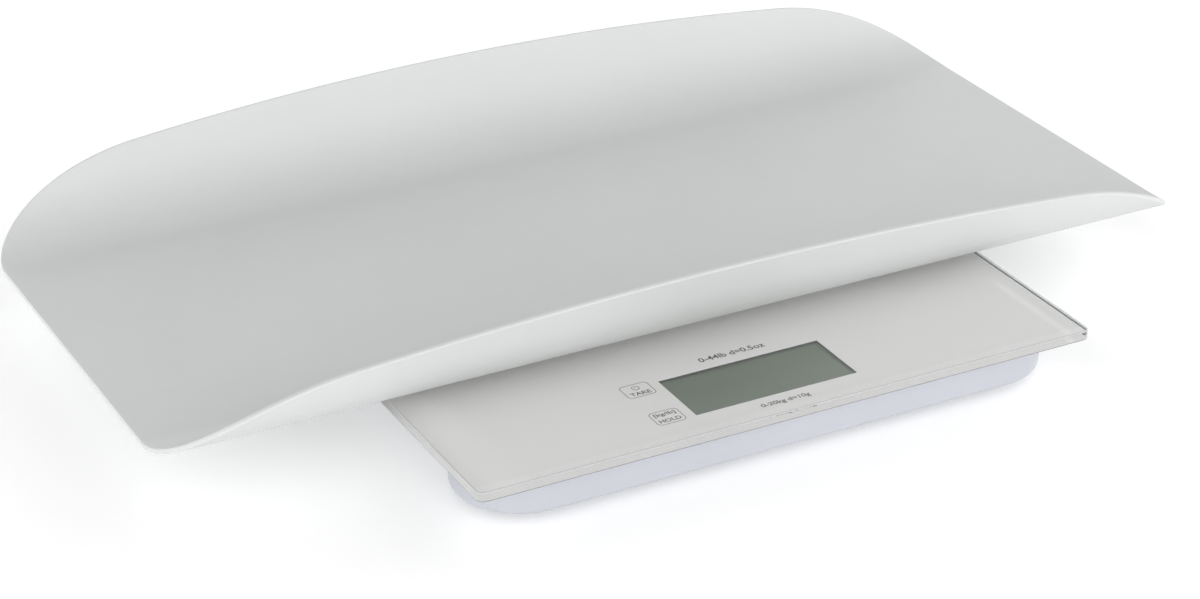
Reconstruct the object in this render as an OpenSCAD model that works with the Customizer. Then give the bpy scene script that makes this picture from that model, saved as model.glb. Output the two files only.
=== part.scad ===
// Digital baby weighing scale: a glass platform on four load cells, with a lift-off tray.
// Millimetres. +Z is up, +X runs along the tray, and the display faces -Y.
// The origin is on the table, under the middle of the whole scale.

/* [Glass platform] */
// Width of the glass platform, left to right
glass_w = 320; // [310:1:360]
// Depth of the glass platform, front to back
glass_d = 320; // [310:1:360]
// Thickness of the tempered glass
glass_t = 5; // [4:0.5:8]
// Corner radius of the glass, seen from above
glass_corner_r = 4; // [1:0.5:12]
// Thickness of the white print behind the glass
print_t = 0.3; // [0.2:0.05:0.5]
// Clear margin between the edge of the glass and the print
print_margin = 1.5; // [0.5:0.25:4]

/* [Base shell] */
// Set-back of the base shell from the edge of the glass
shell_inset = 7.5; // [5:0.5:12]
// Height of the base shell
shell_h = 18; // [17.5:0.5:24]
// Radius of the round pods at the corners of the base shell
pod_r = 32; // [31:0.5:36]
// How far the side walls stand in between the pods
side_recess = 16; // [6:1:22]
// Radius along the bottom edge of the base shell
shell_edge_r = 3; // [1:0.5:4]
// Thickness of the base shell's wall and floor
shell_wall = 2.2; // [1.8:0.1:3]
// Gap between the outer wall and the support ring inside it
ring_gap = 3; // [2:0.5:4]
// Thickness of the support ring, the webs and the ribs
rib_t = 1.5; // [1:0.1:2]
// Height of the stiffening ribs on the floor
rib_h = 5; // [3:0.5:7]
// Height of the base shell above the table
foot_h = 4; // [3:0.5:8]
// Thickness of the tape that bonds the glass to the base shell
tape_t = 0.7; // [0.4:0.1:1.5]
// Diameter of the tape discs on the inner supports
tape_disc_d = 22; // [14:1:28]
// Distance of the front inner support behind the middle of the glass
support_front = 30; // [20:1:40]
// Distance of the rear inner support behind the middle of the glass
support_back = 96; // [80:1:105]

/* [Display] */
// Width of the display window
window_w = 85; // [70:0.5:95]
// Depth of the display window
window_d = 35.5; // [30:0.5:42]
// Overlap of the display behind the print, on each side
lcd_margin = 2; // [1:0.25:4]
// Thickness of the display
lcd_t = 2.2; // [1.6:0.1:3]
// Thickness of the foam gasket round the window
gasket_t = 1; // [0.5:0.1:1.5]
// Height of the rubber connector strips
zebra_h = 2.4; // [1.8:0.1:3]
// Width of the rubber connector strips
zebra_w = 2.2; // [1.6:0.1:3]
// Wall of the display frame
lcd_frame_wall = 1.2; // [0.8:0.1:2]
// Diameter of the display frame's stakes
stake_d = 1.8; // [1.2:0.1:2.4]

/* [Touch keys] */
// Distance from the middle of the glass to the keys
key_x = 54.6; // [54:0.1:64]
// Width of a key
key_w = 14.2; // [10:0.1:16]
// Distance between the two keys, front to back
key_pitch = 27.4; // [16:0.1:32]
// Distance from the front edge of the window to the front key
key_front = 4.9; // [4:0.1:12]
// Coil diameter of a touch spring
touch_coil_d = 6; // [4:0.5:8]
// Wire diameter of a touch spring
touch_wire_d = 0.6; // [0.4:0.1:0.8]

/* [Circuit board] */
// Thickness of the circuit board
board_t = 1.6; // [1:0.1:2]
// Strip of board behind the display
board_back = 6; // [5:0.5:12]
// Strip of board past the display and the keys, for the screws
board_side = 7; // [7:0.5:12]
// Diameter of the screw posts under the board
post_d = 7; // [5:0.5:7]
// Diameter of the screws
screw_d = 2.2; // [1.8:0.1:2.6]
// Diameter of the screw heads
screw_head_d = 4.4; // [3.6:0.1:5]
// Height of the screw heads
screw_head_h = 1.3; // [1:0.1:1.8]

// Length of thread on a board screw below the board
board_bite = 6; // [4:0.5:7]
// Diameter of the potted chip
blob_d = 15; // [10:0.5:17]
// Distance from the middle of the display to the potted chip
blob_x = 12; // [10:0.5:16]
// Side of the memory chip
memory_s = 9; // [6:0.5:11]
// Distance from the middle of the display to the memory chip
memory_x = 11.5; // [9:0.5:14]
// Diameter of the cans
can_d = 5; // [4:0.5:6]
// Height of the cans
can_h = 5; // [3:0.5:5.5]
// Distance between the cans
can_pitch = 8; // [7:0.5:10]
// Distance from the middle of the display to the cans
can_x = 34; // [30:0.5:38]
// Distance from the middle of the display back to the middle of the cans and the plug
can_setback = 10; // [8:0.5:12]
// Length of the plug
plug_l = 10; // [7:0.5:12]
// Width of the plug
plug_w = 4.4; // [3:0.1:6]
// Height of the plug
plug_h = 3.2; // [2:0.1:4]
// Distance from the middle of the display to the plug
plug_x = 33; // [30:0.5:36]

/* [Load cells and feet] */
// Side of a load cell plate
cell_s = 36; // [32:0.5:40]
// Corner radius of a load cell plate
cell_r = 3; // [1:0.5:6]
// Thickness of a load cell plate
cell_t = 1.8; // [1.4:0.1:2.4]
// Width of the load cell's tongue
tongue_w = 14; // [10:0.5:16]
// Length of the load cell's tongue
tongue_l = 22.4; // [18:0.2:24]
// Length of thread on a bracket screw above the bracket
bracket_bite = 4; // [3:0.5:5]
// Width of the slot round the tongue
slot_w = 1.6; // [1:0.1:2]
// Wall of the well round a load cell
well_wall = 2; // [1.5:0.1:3]
// Height of the ridges that the load cell bears on
ridge_h = 1; // [0.8:0.1:1.6]
// Thickness of the bracket that closes a well
bracket_t = 1.6; // [1.2:0.1:2]
// Diameter of the bracket's screw ears
ear_d = 9; // [8:0.5:11]
// Diameter of a foot's body
foot_d = 29; // [24:0.5:30]
// Width of the flange round the foot
flange_w = 2; // [1.2:0.1:2.4]
// Thickness of the flange
flange_t = 1.4; // [1:0.1:2]
// Diameter of the boss that presses on the tongue
boss_d = 8; // [6:0.5:10]
// Height of the boss above the flange
boss_h = 1.2; // [0.8:0.1:2]
// Travel of the foot between the load cell and the bracket
foot_float = 0.8; // [0.4:0.1:1.2]
// Diameter of the rubber sole
sole_d = 24; // [18:0.5:25]
// Thickness of the rubber sole
sole_t = 2.5; // [2:0.1:3]
// Depth of the recess that holds the sole
sole_recess = 1; // [0.6:0.1:1.4]

/* [Battery bay] */
// Diameter of a battery
battery_d = 10.5; // [10:0.1:11]
// Length of a battery, tip included
battery_l = 44.5; // [42:0.5:46]
// Diameter of a battery's tip
tip_d = 3.8; // [3:0.1:4.5]
// Length of a battery's tip
tip_l = 0.8; // [0.5:0.1:1.2]
// Compressed length of a battery spring
spring_l = 5.5; // [4:0.5:8]
// Wire diameter of a battery spring
spring_wire_d = 0.7; // [0.5:0.1:0.9]
// Thickness of the contact plates
contact_t = 0.5; // [0.3:0.1:0.6]
// Side of the contact plates
contact_s = 9; // [7:0.5:9.5]
// Wall and roof of the battery bay
bay_wall = 1.6; // [1.2:0.1:2.4]
// Distance from the circuit board to the battery bay
bay_setback = 12; // [10:1:40]
// Thickness of the battery door
door_t = 1.8; // [1.4:0.1:2]
// Ledge that the battery door closes against
door_ledge = 3.6; // [3.2:0.1:5]
// Reach of the door's tabs past its hinged edge
door_tab_l = 2.5; // [1.5:0.1:3]
// Width of each door tab
door_tab_w = 7; // [5:0.5:8]

/* [Wires] */
// Diameter of a load cell's lead
cell_lead_d = 1.6; // [1:0.1:1.8]
// Diameter of a battery lead
battery_lead_d = 1.3; // [0.8:0.1:1.6]
// Distance from the middle of the display to where the front leads meet the board
front_lead_x = 30; // [26:1:32]
// Distance from the middle of the display to where the rear leads meet the board
rear_lead_x = 40; // [38:1:43]
// How far behind the middle of the display the front leads meet the board
front_lead_y = 4; // [2:1:6]
// How far behind the middle of the display the rear leads meet the board
rear_lead_y = 10; // [8:1:12]

/* [Tray] */
// Length of the tray
tray_l = 545.5; // [480:0.5:620]
// Width of the tray's flat floor
tray_flat_w = 183; // [160:1:200]
// Outer radius of the bends up to the sides
tray_bend_r = 46.5; // [42:0.5:50]
// Slope of the tray's sides above their bends: outward run
side_slope_run = 44; // [30:1:56]
// Slope of the tray's sides above their bends: climb that goes with the run
side_slope_climb = 117; // [110:1:125]
// Thickness of the tray's sheet
tray_t = 2.5; // [2:0.1:4]
// Height of the rim at mid-length above the tray's underside
tray_rise = 46.5; // [42:0.5:60]
// Radius of the rim's long arch, seen from the front
rim_arch_r = 1980; // [1500:20:2600]
// Distance from mid-length to where the rim starts to fall
rim_fall_x = 189; // [170:1:200]
// Corner radius of the tray, seen from above
tray_corner_r = 41; // [30:1:55]
// Distance from the front edge of the glass to the tray's middle
tray_setback = 196; // [180:1:210]
// Diameter of the soft pads under the tray
pad_d = 18; // [12:1:24]
// Height of the tray above the glass
pad_gap = 1; // [0.6:0.1:3]
// Depth of the recess that holds a pad
pad_recess = 0.5; // [0.3:0.1:0.8]
// Distance of the pads from the tray's middle, along its length
pad_x = 110; // [60:1:130]
// Distance of the pads from the tray's middle, across it
pad_y = 62; // [40:1:66]
// Length of the lug that locates the tray on each side of the glass
lug_l = 60; // [40:1:90]
// Thickness of the lug
lug_t = 3; // [2:0.1:4]
// Depth that the lug reaches below the top of the glass
lug_drop = 4; // [2:0.1:4]

/* [Clearances] */
// Clearance between the lugs and the glass
lug_clear = 0.8; // [0.4:0.1:1.5]
// Clearance round pieces that drop into a pocket
fit_clear = 0.25; // [0.15:0.05:0.4]
// Clearance round screws and stakes
screw_clear = 0.05; // [0.03:0.01:0.1]
// Clearance between the display frame and the support ring
display_clear = 1.4; // [0.5:0.1:3]
// Clearance above and below the batteries
battery_clear = 0.4; // [0.3:0.1:0.8]
// Gap between a resting spring or wire and what it meets
wire_clear = 0.3; // [0.2:0.05:0.4]

/* [Hidden] */

$fn = 64;
big_fn = 720;
cut = 1;            // how far a cutting shape runs past the face it cuts

// Heights, from the table up
shell_top = foot_h + shell_h;
print_z = shell_top + tape_t;
glass_z = print_z + print_t;
glass_top = glass_z + glass_t;
tray_z = glass_top + pad_gap;
floor_z = foot_h + shell_wall;

// Plan: the whole scale runs from the glass's front edge to the back of the tray or of the glass
// (The slope 44 to 117 has the whole hypotenuse 125, so that bends and sides meet exactly.)
tray_bend_a = atan2(side_slope_climb, side_slope_run);
bend_top = tray_bend_r * (1 - cos(tray_bend_a));
side_run = (tray_rise - bend_top) / tan(tray_bend_a);
tray_half_w = tray_flat_w / 2 + tray_bend_r * sin(tray_bend_a) + side_run;
front_y = -max(glass_d, tray_setback + tray_half_w) / 2;
plat_y = front_y + glass_d / 2;
tray_y = front_y + tray_setback;
shell_w = glass_w - 2 * shell_inset;
shell_d = glass_d - 2 * shell_inset;
side_w = shell_w - 2 * side_recess;
ring_inset = shell_wall + ring_gap;
ring_inner = ring_inset + rib_t;

// Display and board, from the glass down and from the support ring back
lcd_w = window_w + 2 * lcd_margin;
lcd_d = window_d + 2 * lcd_margin;
frame_w = lcd_w + 2 * (fit_clear + lcd_frame_wall);
frame_d = lcd_d + 2 * (fit_clear + lcd_frame_wall);
frame_front = front_y + shell_inset + ring_inner + display_clear;
window_front = frame_front + lcd_frame_wall + fit_clear + lcd_margin;
window_y = window_front + window_d / 2;
lcd_z = print_z - gasket_t - lcd_t;
board_top = lcd_z - zebra_h;
board_z = board_top - board_t;
board_left = -key_x - key_w / 2 - board_side;
board_right = frame_w / 2 + board_side;
board_y0 = frame_front;
board_y1 = frame_front + frame_d + board_back;
key_y = [window_front + key_front, window_front + key_front + key_pitch];
screw_edge = post_d / 2;
board_screw_at = [
    for (x = [board_left + screw_edge, board_right - screw_edge])
        for (y = [board_y0 + screw_edge, board_y1 - screw_edge]) [x, y]
];
stake_at = [
    for (x = [-1, 1], y = [-1, 1]) [x * (frame_w + stake_d) / 2, window_y + y * frame_d / 4]
];
stake_reach = 0.6;  // how far a stake stands out under the board
stake_top = 2;      // how far it runs up the side of the frame

// Load cells and feet, from the table up
cup_z = sole_t - sole_recess;
flange_z = foot_h + bracket_t + foot_float;
cell_z = flange_z + flange_t + boss_h;
well_roof_z = cell_z + cell_t + ridge_h;
well_in = cell_s + 2 * fit_clear;
well_out = well_in + 2 * well_wall;
well_top = well_roof_z + shell_wall;
well_r = cell_r + fit_clear;
cell_x = shell_w / 2 - pod_r;
cell_y = shell_d / 2 - pod_r;
ear_x = well_in / 2 + ear_d / 2 + screw_clear;
flange_d = foot_d + 2 * flange_w;
corners = [[-1, -1], [1, -1], [-1, 1], [1, 1]];
notch = cell_lead_d + 2 * wire_clear;
lead_y = -12;       // where a lead leaves its well, from the middle of the load cell
lane_gap = 6;       // from a well's screw ear to the rear leads, which run past it
lead_lane = cell_x - ear_x - ear_d / 2 - lane_gap - cell_lead_d / 2;

// Battery bay and door
pair_w = 2 * battery_d + battery_clear;
bay_l = battery_l + spring_l + 2 * contact_t;
bay_w = pair_w + 2 * battery_clear;
battery_z = foot_h + door_t + battery_clear + battery_d / 2;
bay_roof_z = battery_z + battery_d / 2 + battery_clear;
bay_top = bay_roof_z + bay_wall;
door_l = bay_l + 2 * door_ledge;
door_w = bay_w + 2 * door_ledge;
door_tab_t = 1.2;
tab_swing = norm([door_tab_l, door_t + door_tab_t]);
bay_pad_t = tab_swing + fit_clear + bay_wall;
bay_pad_l = door_l + 2 * (door_tab_l + bay_wall);
bay_pad_w = door_w + 2 * bay_wall;
bay_y = board_y1 + bay_setback + bay_pad_w / 2;
tab_y = bay_w / 2 - door_tab_w / 2;
hook_w = 8;
hook_t = 1.6;
hook_h = 1.8;
battery_y = (battery_d + battery_clear) / 2;
solder_tab_w = 3;
solder_tab_h = 1.4;

// Inner supports: on the four wells, and on the floor between them
support_rows = [support_front, support_back];
mid_supports = concat([for (y = support_rows) [0, plat_y + y]], [for (s = [-1, 1]) [s * cell_x, plat_y]]);
support_s = tape_disc_d;

// Rectangle with rounded corners, centred
module rounded_rect(w, d, r) {
    square([w - 2 * r, d], center = true);
    square([w, d - 2 * r], center = true);
    for (x = [-1, 1], y = [-1, 1]) translate([x * (w / 2 - r), y * (d / 2 - r)]) circle(r);
}

module rounded_block(w, d, h, r) {
    linear_extrude(h) rounded_rect(w, d, r);
}

// Upright section through the edge of a block, from r in, whose bottom edge is rounded
module edge_section(r, h, e) {
    square([r - e, h]);
    translate([0, e]) square([r, h - e]);
    translate([r - e, e]) circle(e);
}

// Outline of the base shell, set in by a distance: front, sides, and a round pod at each corner
module shell_plan(inset) {
    square([2 * cell_x, shell_d - 2 * inset], center = true);
    square([side_w - 2 * inset, 2 * cell_y], center = true);
    for (c = corners) translate([c.x * cell_x, c.y * cell_y]) circle(pod_r - inset);
}

// Solid block on that outline, with a rounded bottom edge
module shell_block(h, e) {
    side_r = pod_r - side_recess;
    translate([-cell_x, -cell_y, 0]) cube([2 * cell_x, 2 * cell_y, h]);
    for (s = [0, 180]) rotate([0, 0, s]) {
        translate([-cell_x, -cell_y, 0]) rotate([90, 0, 90]) mirror([1, 0, 0])
            linear_extrude(2 * cell_x) edge_section(pod_r, h, e);
        translate([cell_x, cell_y, 0]) rotate([90, 0, 0])
            linear_extrude(2 * cell_y) edge_section(side_r, h, e);
    }
    for (c = corners) translate([c.x * cell_x, c.y * cell_y, 0]) rotate_extrude() edge_section(pod_r, h, e);
}

module cross(s, t, h) {
    translate([-s / 2, -t / 2, 0]) cube([s, t, h]);
    translate([-t / 2, -s / 2, 0]) cube([t, s, h]);
}

module pan_screw(length) {
    cylinder(d = screw_d, h = length);
    translate([0, 0, -screw_head_h]) cylinder(d = screw_head_d, h = screw_head_h);
}

// Directions along a path, and side vectors that turn with it as little as they can
function unit(v) = v / norm(v);
function path_dirs(p) = [
    for (i = [0 : len(p) - 1]) unit(p[min(i + 1, len(p) - 1)] - p[max(i - 1, 0)])
];
function path_sides(d, n, i = 0) =
    i == len(d) ? [] : let (s = unit(n - (n * d[i]) * d[i])) concat([s], path_sides(d, s, i + 1));

// Round wire along a path of points; "side" is any direction square to its start
module wire(path, diameter, side, sides = 8) {
    dirs = path_dirs(path);
    across = path_sides(dirs, side);
    rings = len(path);
    points = [
        for (i = [0 : rings - 1]) for (k = [0 : sides - 1])
            path[i] + diameter / 2 * (cos(360 * k / sides) * across[i]
                + sin(360 * k / sides) * cross(dirs[i], across[i]))
    ];
    walls = [
        for (i = [0 : rings - 2]) for (k = [0 : sides - 1]) let (m = (k + 1) % sides)
            each [
                [i * sides + k, (i + 1) * sides + k, (i + 1) * sides + m],
                [i * sides + k, (i + 1) * sides + m, i * sides + m]
            ]
    ];
    caps = [
        for (k = [1 : sides - 2]) each [
            [0, k, k + 1],
            [(rings - 1) * sides, (rings - 1) * sides + k + 1, (rings - 1) * sides + k]
        ]
    ];
    polyhedron(points, concat(walls, caps), convexity = 6);
}

// Points of a coil that rises along Z between two radii
function coil_path(r0, r1, h, turns, steps = 10) = [
    for (i = [0 : turns * steps]) let (f = i / (turns * steps), r = r0 + (r1 - r0) * f)
        [r * cos(360 * turns * f), r * sin(360 * turns * f), h * f]
];

// Rim of the tray, seen from the front. A long arch meets an end arc that runs down to the tray's end.
arch_centre = [0, tray_rise - rim_arch_r];
fall_dir = [rim_fall_x / rim_arch_r, sqrt(1 - pow(rim_fall_x / rim_arch_r, 2))];
fall_point = arch_centre + rim_arch_r * fall_dir;
fall_to_end = fall_point - [tray_l / 2, tray_t];
end_arc_r = (fall_to_end * fall_to_end) / (2 * (fall_dir * fall_to_end));
end_arc_centre = fall_point - end_arc_r * fall_dir;

module rim_outline() {
    low = -cut;
    intersection() {
        translate(arch_centre) circle(rim_arch_r, $fn = big_fn);
        translate([-rim_fall_x, low]) square([2 * rim_fall_x, tray_rise + 2 * cut]);
    }
    for (s = [0, 1]) mirror([s, 0]) intersection() {
        translate(end_arc_centre) circle(end_arc_r, $fn = big_fn);
        translate([rim_fall_x, low]) square([tray_l / 2 - rim_fall_x, tray_rise + 2 * cut]);
    }
}

// One side of the sheet's section, from the middle of its bend: the bend, and the sloping side past it
module side_section() {
    far = 2 * tray_bend_r;
    intersection() {
        rotate(tray_bend_a) {
            intersection() {
                difference() {
                    circle(tray_bend_r, $fn = 180);
                    circle(tray_bend_r - tray_t, $fn = 180);
                }
                translate([-far, -far]) square([far, 2 * far]);
            }
            translate([0, -tray_bend_r]) square([tray_rise, tray_t]);
        }
        translate([0, -far]) square([far, 2 * far]);
    }
}

// Section of the tray's sheet: the flat floor and both sides
module sheet_section() {
    translate([-tray_flat_w / 2, 0]) square([tray_flat_w, tray_t]);
    for (s = [0, 1]) mirror([s, 0]) translate([tray_flat_w / 2, tray_bend_r]) side_section();
}

module tray_sheet() {
    intersection() {
        rotate([90, 0, 90]) translate([0, 0, -tray_l / 2]) linear_extrude(tray_l) sheet_section();
        translate([0, 0, -cut]) linear_extrude(tray_rise + 2 * cut)
            rounded_rect(tray_l, 2 * tray_half_w + 2 * cut, tray_corner_r + cut);
        rotate([90, 0, 0]) translate([0, 0, -tray_half_w - cut]) linear_extrude(2 * tray_half_w + 2 * cut)
            rim_outline();
    }
}

module tray_lug() {
    gusset = 8;
    drop = lug_drop + pad_gap;
    translate([glass_w / 2 + lug_clear, -lug_l / 2, -drop]) cube([lug_t, lug_l, drop]);
    for (y = [-lug_l / 2, -rib_t / 2, lug_l / 2 - rib_t])
        translate([glass_w / 2 + lug_clear + lug_t, y + rib_t, 0]) rotate([90, 0, 0])
            linear_extrude(rib_t) polygon([[0, 0], [gusset, 0], [0, -drop]]);
}

module tray() {
    color("whitesmoke") translate([0, tray_y, tray_z]) difference() {
        union() {
            tray_sheet();
            for (s = [0, 1]) mirror([s, 0, 0]) tray_lug();
        }
        for (x = [-pad_x, pad_x], y = [-pad_y, pad_y])
            translate([x, y, -cut]) cylinder(d = pad_d + 2 * fit_clear, h = pad_recess + cut);
    }
}

module tray_pads() {
    color("gainsboro") for (x = [-pad_x, pad_x], y = [-pad_y, pad_y])
        translate([x, tray_y + y, glass_top]) cylinder(d = pad_d, h = pad_gap + pad_recess);
}

module glass_platform() {
    color([0.86, 0.91, 0.9, 0.5]) translate([0, plat_y, glass_z])
        rounded_block(glass_w, glass_d, glass_t, glass_corner_r);
}

module back_print() {
    w = glass_w - 2 * print_margin;
    d = glass_d - 2 * print_margin;
    color("white") translate([0, 0, print_z]) difference() {
        translate([0, plat_y, 0]) rounded_block(w, d, print_t, glass_corner_r);
        translate([-window_w / 2, window_front, -cut]) cube([window_w, window_d, print_t + 2 * cut]);
    }
}

module bond_tape() {
    edge = 0.4;
    color("lightgray") translate([0, 0, shell_top]) {
        translate([0, plat_y, 0]) linear_extrude(tape_t) difference() {
            shell_plan(edge);
            shell_plan(ring_inner - edge);
        }
        for (c = corners) translate([c.x * cell_x, plat_y + c.y * cell_y, 0])
            cylinder(d = tape_disc_d, h = tape_t);
        for (p = mid_supports) translate([p.x, p.y, 0]) cylinder(d = tape_disc_d, h = tape_t);
    }
}

// Outer wall, support ring and the webs between them
module shell_body() {
    height = shell_h - shell_wall;
    web_n = 7;
    web_l = ring_gap + rib_t;
    difference() {
        shell_block(shell_h, shell_edge_r);
        translate([0, 0, shell_wall]) linear_extrude(height + cut) shell_plan(shell_wall);
    }
    translate([0, 0, shell_wall]) {
        linear_extrude(height) difference() {
            shell_plan(ring_inset);
            shell_plan(ring_inner);
        }
        for (k = [0 : web_n - 1], s = [0, 1]) {
            share = (k - (web_n - 1) / 2) / web_n;
            web_x = share * 2 * cell_x - rib_t / 2;
            web_y = share * 2 * cell_y - rib_t / 2;
            mirror([0, s, 0]) translate([web_x, shell_d / 2 - ring_inner, 0]) cube([rib_t, web_l, height]);
            mirror([s, 0, 0]) translate([side_w / 2 - ring_inner, web_y, 0]) cube([web_l, rib_t, height]);
        }
    }
}

// Stiffening ribs on the floor, through the inner supports and between the wells
module floor_ribs() {
    side_l = 2 * cell_y - well_out;
    lane_clear = 12;
    cross_l = 2 * (lead_lane - lane_clear);
    back_y = plat_y + cell_y;
    bay_back = bay_y + bay_pad_w / 2;
    translate([0, 0, floor_z]) {
        for (s = [-1, 1]) translate([s * cell_x - rib_t / 2, plat_y - side_l / 2, 0])
            cube([rib_t, side_l, rib_h]);
        for (y = support_rows) translate([-cross_l / 2, plat_y + y - rib_t / 2, 0])
            cube([cross_l, rib_t, rib_h]);
        translate([-rib_t / 2, bay_back, 0]) cube([rib_t, back_y - bay_back, rib_h]);
    }
}

module well_body() {
    rounded_block(well_out, well_out, well_top - foot_h, well_r + well_wall);
    for (s = [-1, 1]) translate([s * ear_x, 0, 0]) cylinder(d = ear_d, h = well_top - foot_h);
    translate([0, 0, well_top - foot_h]) cross(support_s, rib_t, shell_top - well_top);
}

// What is cut out of a well: the room for bracket, foot and load cell, and the way out for the lead
module well_cut(sx) {
    ridge_w = 3;
    difference() {
        translate([0, 0, -cut]) rounded_block(well_in, well_in, well_roof_z - foot_h + cut, well_r);
        for (y = [-1, 1]) translate([-well_in / 2 - cut, y * (cell_s / 2 - ridge_w) - ridge_w / 2,
            cell_z + cell_t - foot_h]) cube([well_in + 2 * cut, ridge_w, ridge_h + cut]);
    }
    translate([0, 0, -cut]) bracket_outline(bracket_t + cut, fit_clear);
    for (s = [-1, 1]) translate([s * ear_x, 0, 0])
        cylinder(d = screw_d + 2 * screw_clear, h = well_roof_z - foot_h);
    mirror([sx < 0 ? 1 : 0, 0, 0])
        translate([-well_out / 2 - cut, lead_y - notch / 2, cell_z - foot_h - notch])
            cube([well_wall + 2 * cut, notch, notch]);
}

module bracket_outline(h, grow) {
    rounded_block(well_in - 2 * fit_clear + 2 * grow, well_in - 2 * fit_clear + 2 * grow, h, well_r);
    translate([-ear_x, -ear_d / 2 - grow, 0]) cube([2 * ear_x, ear_d + 2 * grow, h]);
    for (s = [-1, 1]) translate([s * ear_x, 0, 0]) cylinder(d = ear_d + 2 * grow, h = h);
}

module base_shell() {
    color("aliceblue") difference() {
        union() {
            translate([0, plat_y, foot_h]) shell_body();
            for (c = corners) translate([c.x * cell_x, plat_y + c.y * cell_y, foot_h]) well_body();
            for (p = mid_supports) translate([p.x, p.y, floor_z])
                cross(support_s, rib_t, shell_top - floor_z);
            floor_ribs();
            for (p = board_screw_at) translate([p.x, p.y, floor_z])
                cylinder(d = post_d, h = board_z - floor_z);
            translate([-bay_pad_l / 2, bay_y - bay_pad_w / 2, foot_h])
                cube([bay_pad_l, bay_pad_w, bay_pad_t]);
            translate([-bay_l / 2 - bay_wall, bay_y - bay_w / 2 - bay_wall, foot_h])
                cube([bay_l + 2 * bay_wall, bay_w + 2 * bay_wall, bay_top - foot_h]);
        }
        for (c = corners) translate([c.x * cell_x, plat_y + c.y * cell_y, foot_h]) well_cut(c.x);
        for (p = board_screw_at) translate([p.x, p.y, floor_z])
            cylinder(d = screw_d + 2 * screw_clear, h = board_z - floor_z + cut);
        translate([0, bay_y, 0]) bay_cut();
    }
}

// What is cut out of the battery bay: room, door seat, tab pockets, hook notch and contact slots
module bay_cut() {
    seat_l = door_l + 2 * fit_clear;
    seat_w = door_w + 2 * fit_clear;
    pocket_z = foot_h + door_t;
    translate([-bay_l / 2, -bay_w / 2, foot_h - cut]) cube([bay_l, bay_w, bay_roof_z - foot_h + cut]);
    translate([-seat_l / 2, -seat_w / 2, foot_h - cut]) cube([seat_l, seat_w, door_t + cut]);
    for (s = [-1, 1])
        translate([-door_l / 2 - door_tab_l - fit_clear, s * tab_y - door_tab_w / 2 - fit_clear, pocket_z])
            cube([door_tab_l + door_ledge + 2 * fit_clear, door_tab_w + 2 * fit_clear, tab_swing]);
    translate([door_l / 2 - door_ledge - cut, -hook_w / 2 - fit_clear, foot_h])
        cube([door_ledge + cut + fit_clear, hook_w + 2 * fit_clear, door_t + hook_h + fit_clear]);
    for (x = [-1, 1], y = [-1, 1])
        translate([x * (bay_l / 2 - contact_t / 2) - contact_t / 2 - screw_clear,
            y * battery_y - solder_tab_w / 2 - screw_clear, bay_roof_z - cut])
            cube([contact_t + 2 * screw_clear, solder_tab_w + 2 * screw_clear, bay_wall + 2 * cut]);
}

module window_gasket() {
    color("dimgray") translate([0, window_y, print_z - gasket_t]) difference() {
        translate([-lcd_w / 2, -lcd_d / 2, 0]) cube([lcd_w, lcd_d, gasket_t]);
        translate([-window_w / 2, -window_d / 2, -cut]) cube([window_w, window_d, gasket_t + 2 * cut]);
    }
}

// Two glass plates. The lower one is narrower, so that the strips reach the contacts on the upper one.
module lcd_panel() {
    contact_w = zebra_w + fit_clear;
    color("darkseagreen") translate([-lcd_w / 2, window_y - lcd_d / 2, lcd_z]) {
        translate([0, contact_w, 0]) cube([lcd_w, lcd_d - 2 * contact_w, lcd_t / 2]);
        translate([0, 0, lcd_t / 2]) cube([lcd_w, lcd_d, lcd_t / 2]);
    }
}

module lcd_frame() {
    inner_w = lcd_w + 2 * fit_clear;
    inner_d = lcd_d + 2 * fit_clear;
    height = lcd_z + lcd_t - board_top;
    color("ivory") {
        translate([0, window_y, board_top]) difference() {
            translate([-frame_w / 2, -frame_d / 2, 0]) cube([frame_w, frame_d, height]);
            translate([-inner_w / 2, -inner_d / 2, -cut]) cube([inner_w, inner_d, height + 2 * cut]);
        }
        for (p = stake_at) {
            translate([p.x, p.y, board_z - stake_reach]) cylinder(d = stake_d, h = board_t + stake_reach);
            translate([p.x - stake_d / 2, p.y - stake_d / 2, board_top]) cube([stake_d, stake_d, stake_top]);
        }
    }
}

module zebra_strips() {
    end_gap = 3;
    length = window_w - 2 * end_gap;
    color("dimgray") for (s = [0, 1]) translate([-length / 2, window_y, board_top]) mirror([0, s, 0])
        translate([0, lcd_d / 2 - zebra_w, 0]) cube([length, zebra_w, zebra_h + lcd_t / 2]);
}

module circuit_board() {
    color("seagreen") difference() {
        translate([board_left, board_y0, board_z])
            cube([board_right - board_left, board_y1 - board_y0, board_t]);
        for (p = board_screw_at) translate([p.x, p.y, board_z - cut])
            cylinder(d = screw_d + 2 * screw_clear, h = board_t + 2 * cut);
        for (p = stake_at) translate([p.x, p.y, board_z - cut])
            cylinder(d = stake_d + 2 * screw_clear, h = board_t + 2 * cut);
    }
}

// Potted chip under the board, to the right of the display's middle
module chip_blob() {
    blob_h = 1.6;
    color("black") translate([blob_x, window_y, board_z - blob_h]) cylinder(d = blob_d, h = blob_h);
}

// Parts soldered under the board: a memory chip, two cans, a plug and a row of small resistors
module board_parts() {
    memory_h = 2.4;
    resistor = [1.6, 0.9, 0.6];
    resistor_n = 6;
    color("slategray") translate([0, window_y, board_z]) {
        translate([-memory_x - memory_s / 2, 0, -memory_h]) cube([memory_s, memory_s, memory_h]);
        for (s = [-1, 1]) translate([-can_x + s * can_pitch / 2, -can_setback, -can_h])
            cylinder(d = can_d, h = can_h);
        translate([plug_x - plug_l / 2, -can_setback - plug_w / 2, -plug_h]) cube([plug_l, plug_w, plug_h]);
        for (k = [0 : resistor_n - 1])
            translate([(2 * k - resistor_n) * resistor.x, -can_setback - blob_d / 4, -resistor.z])
                cube(resistor);
    }
}

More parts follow.
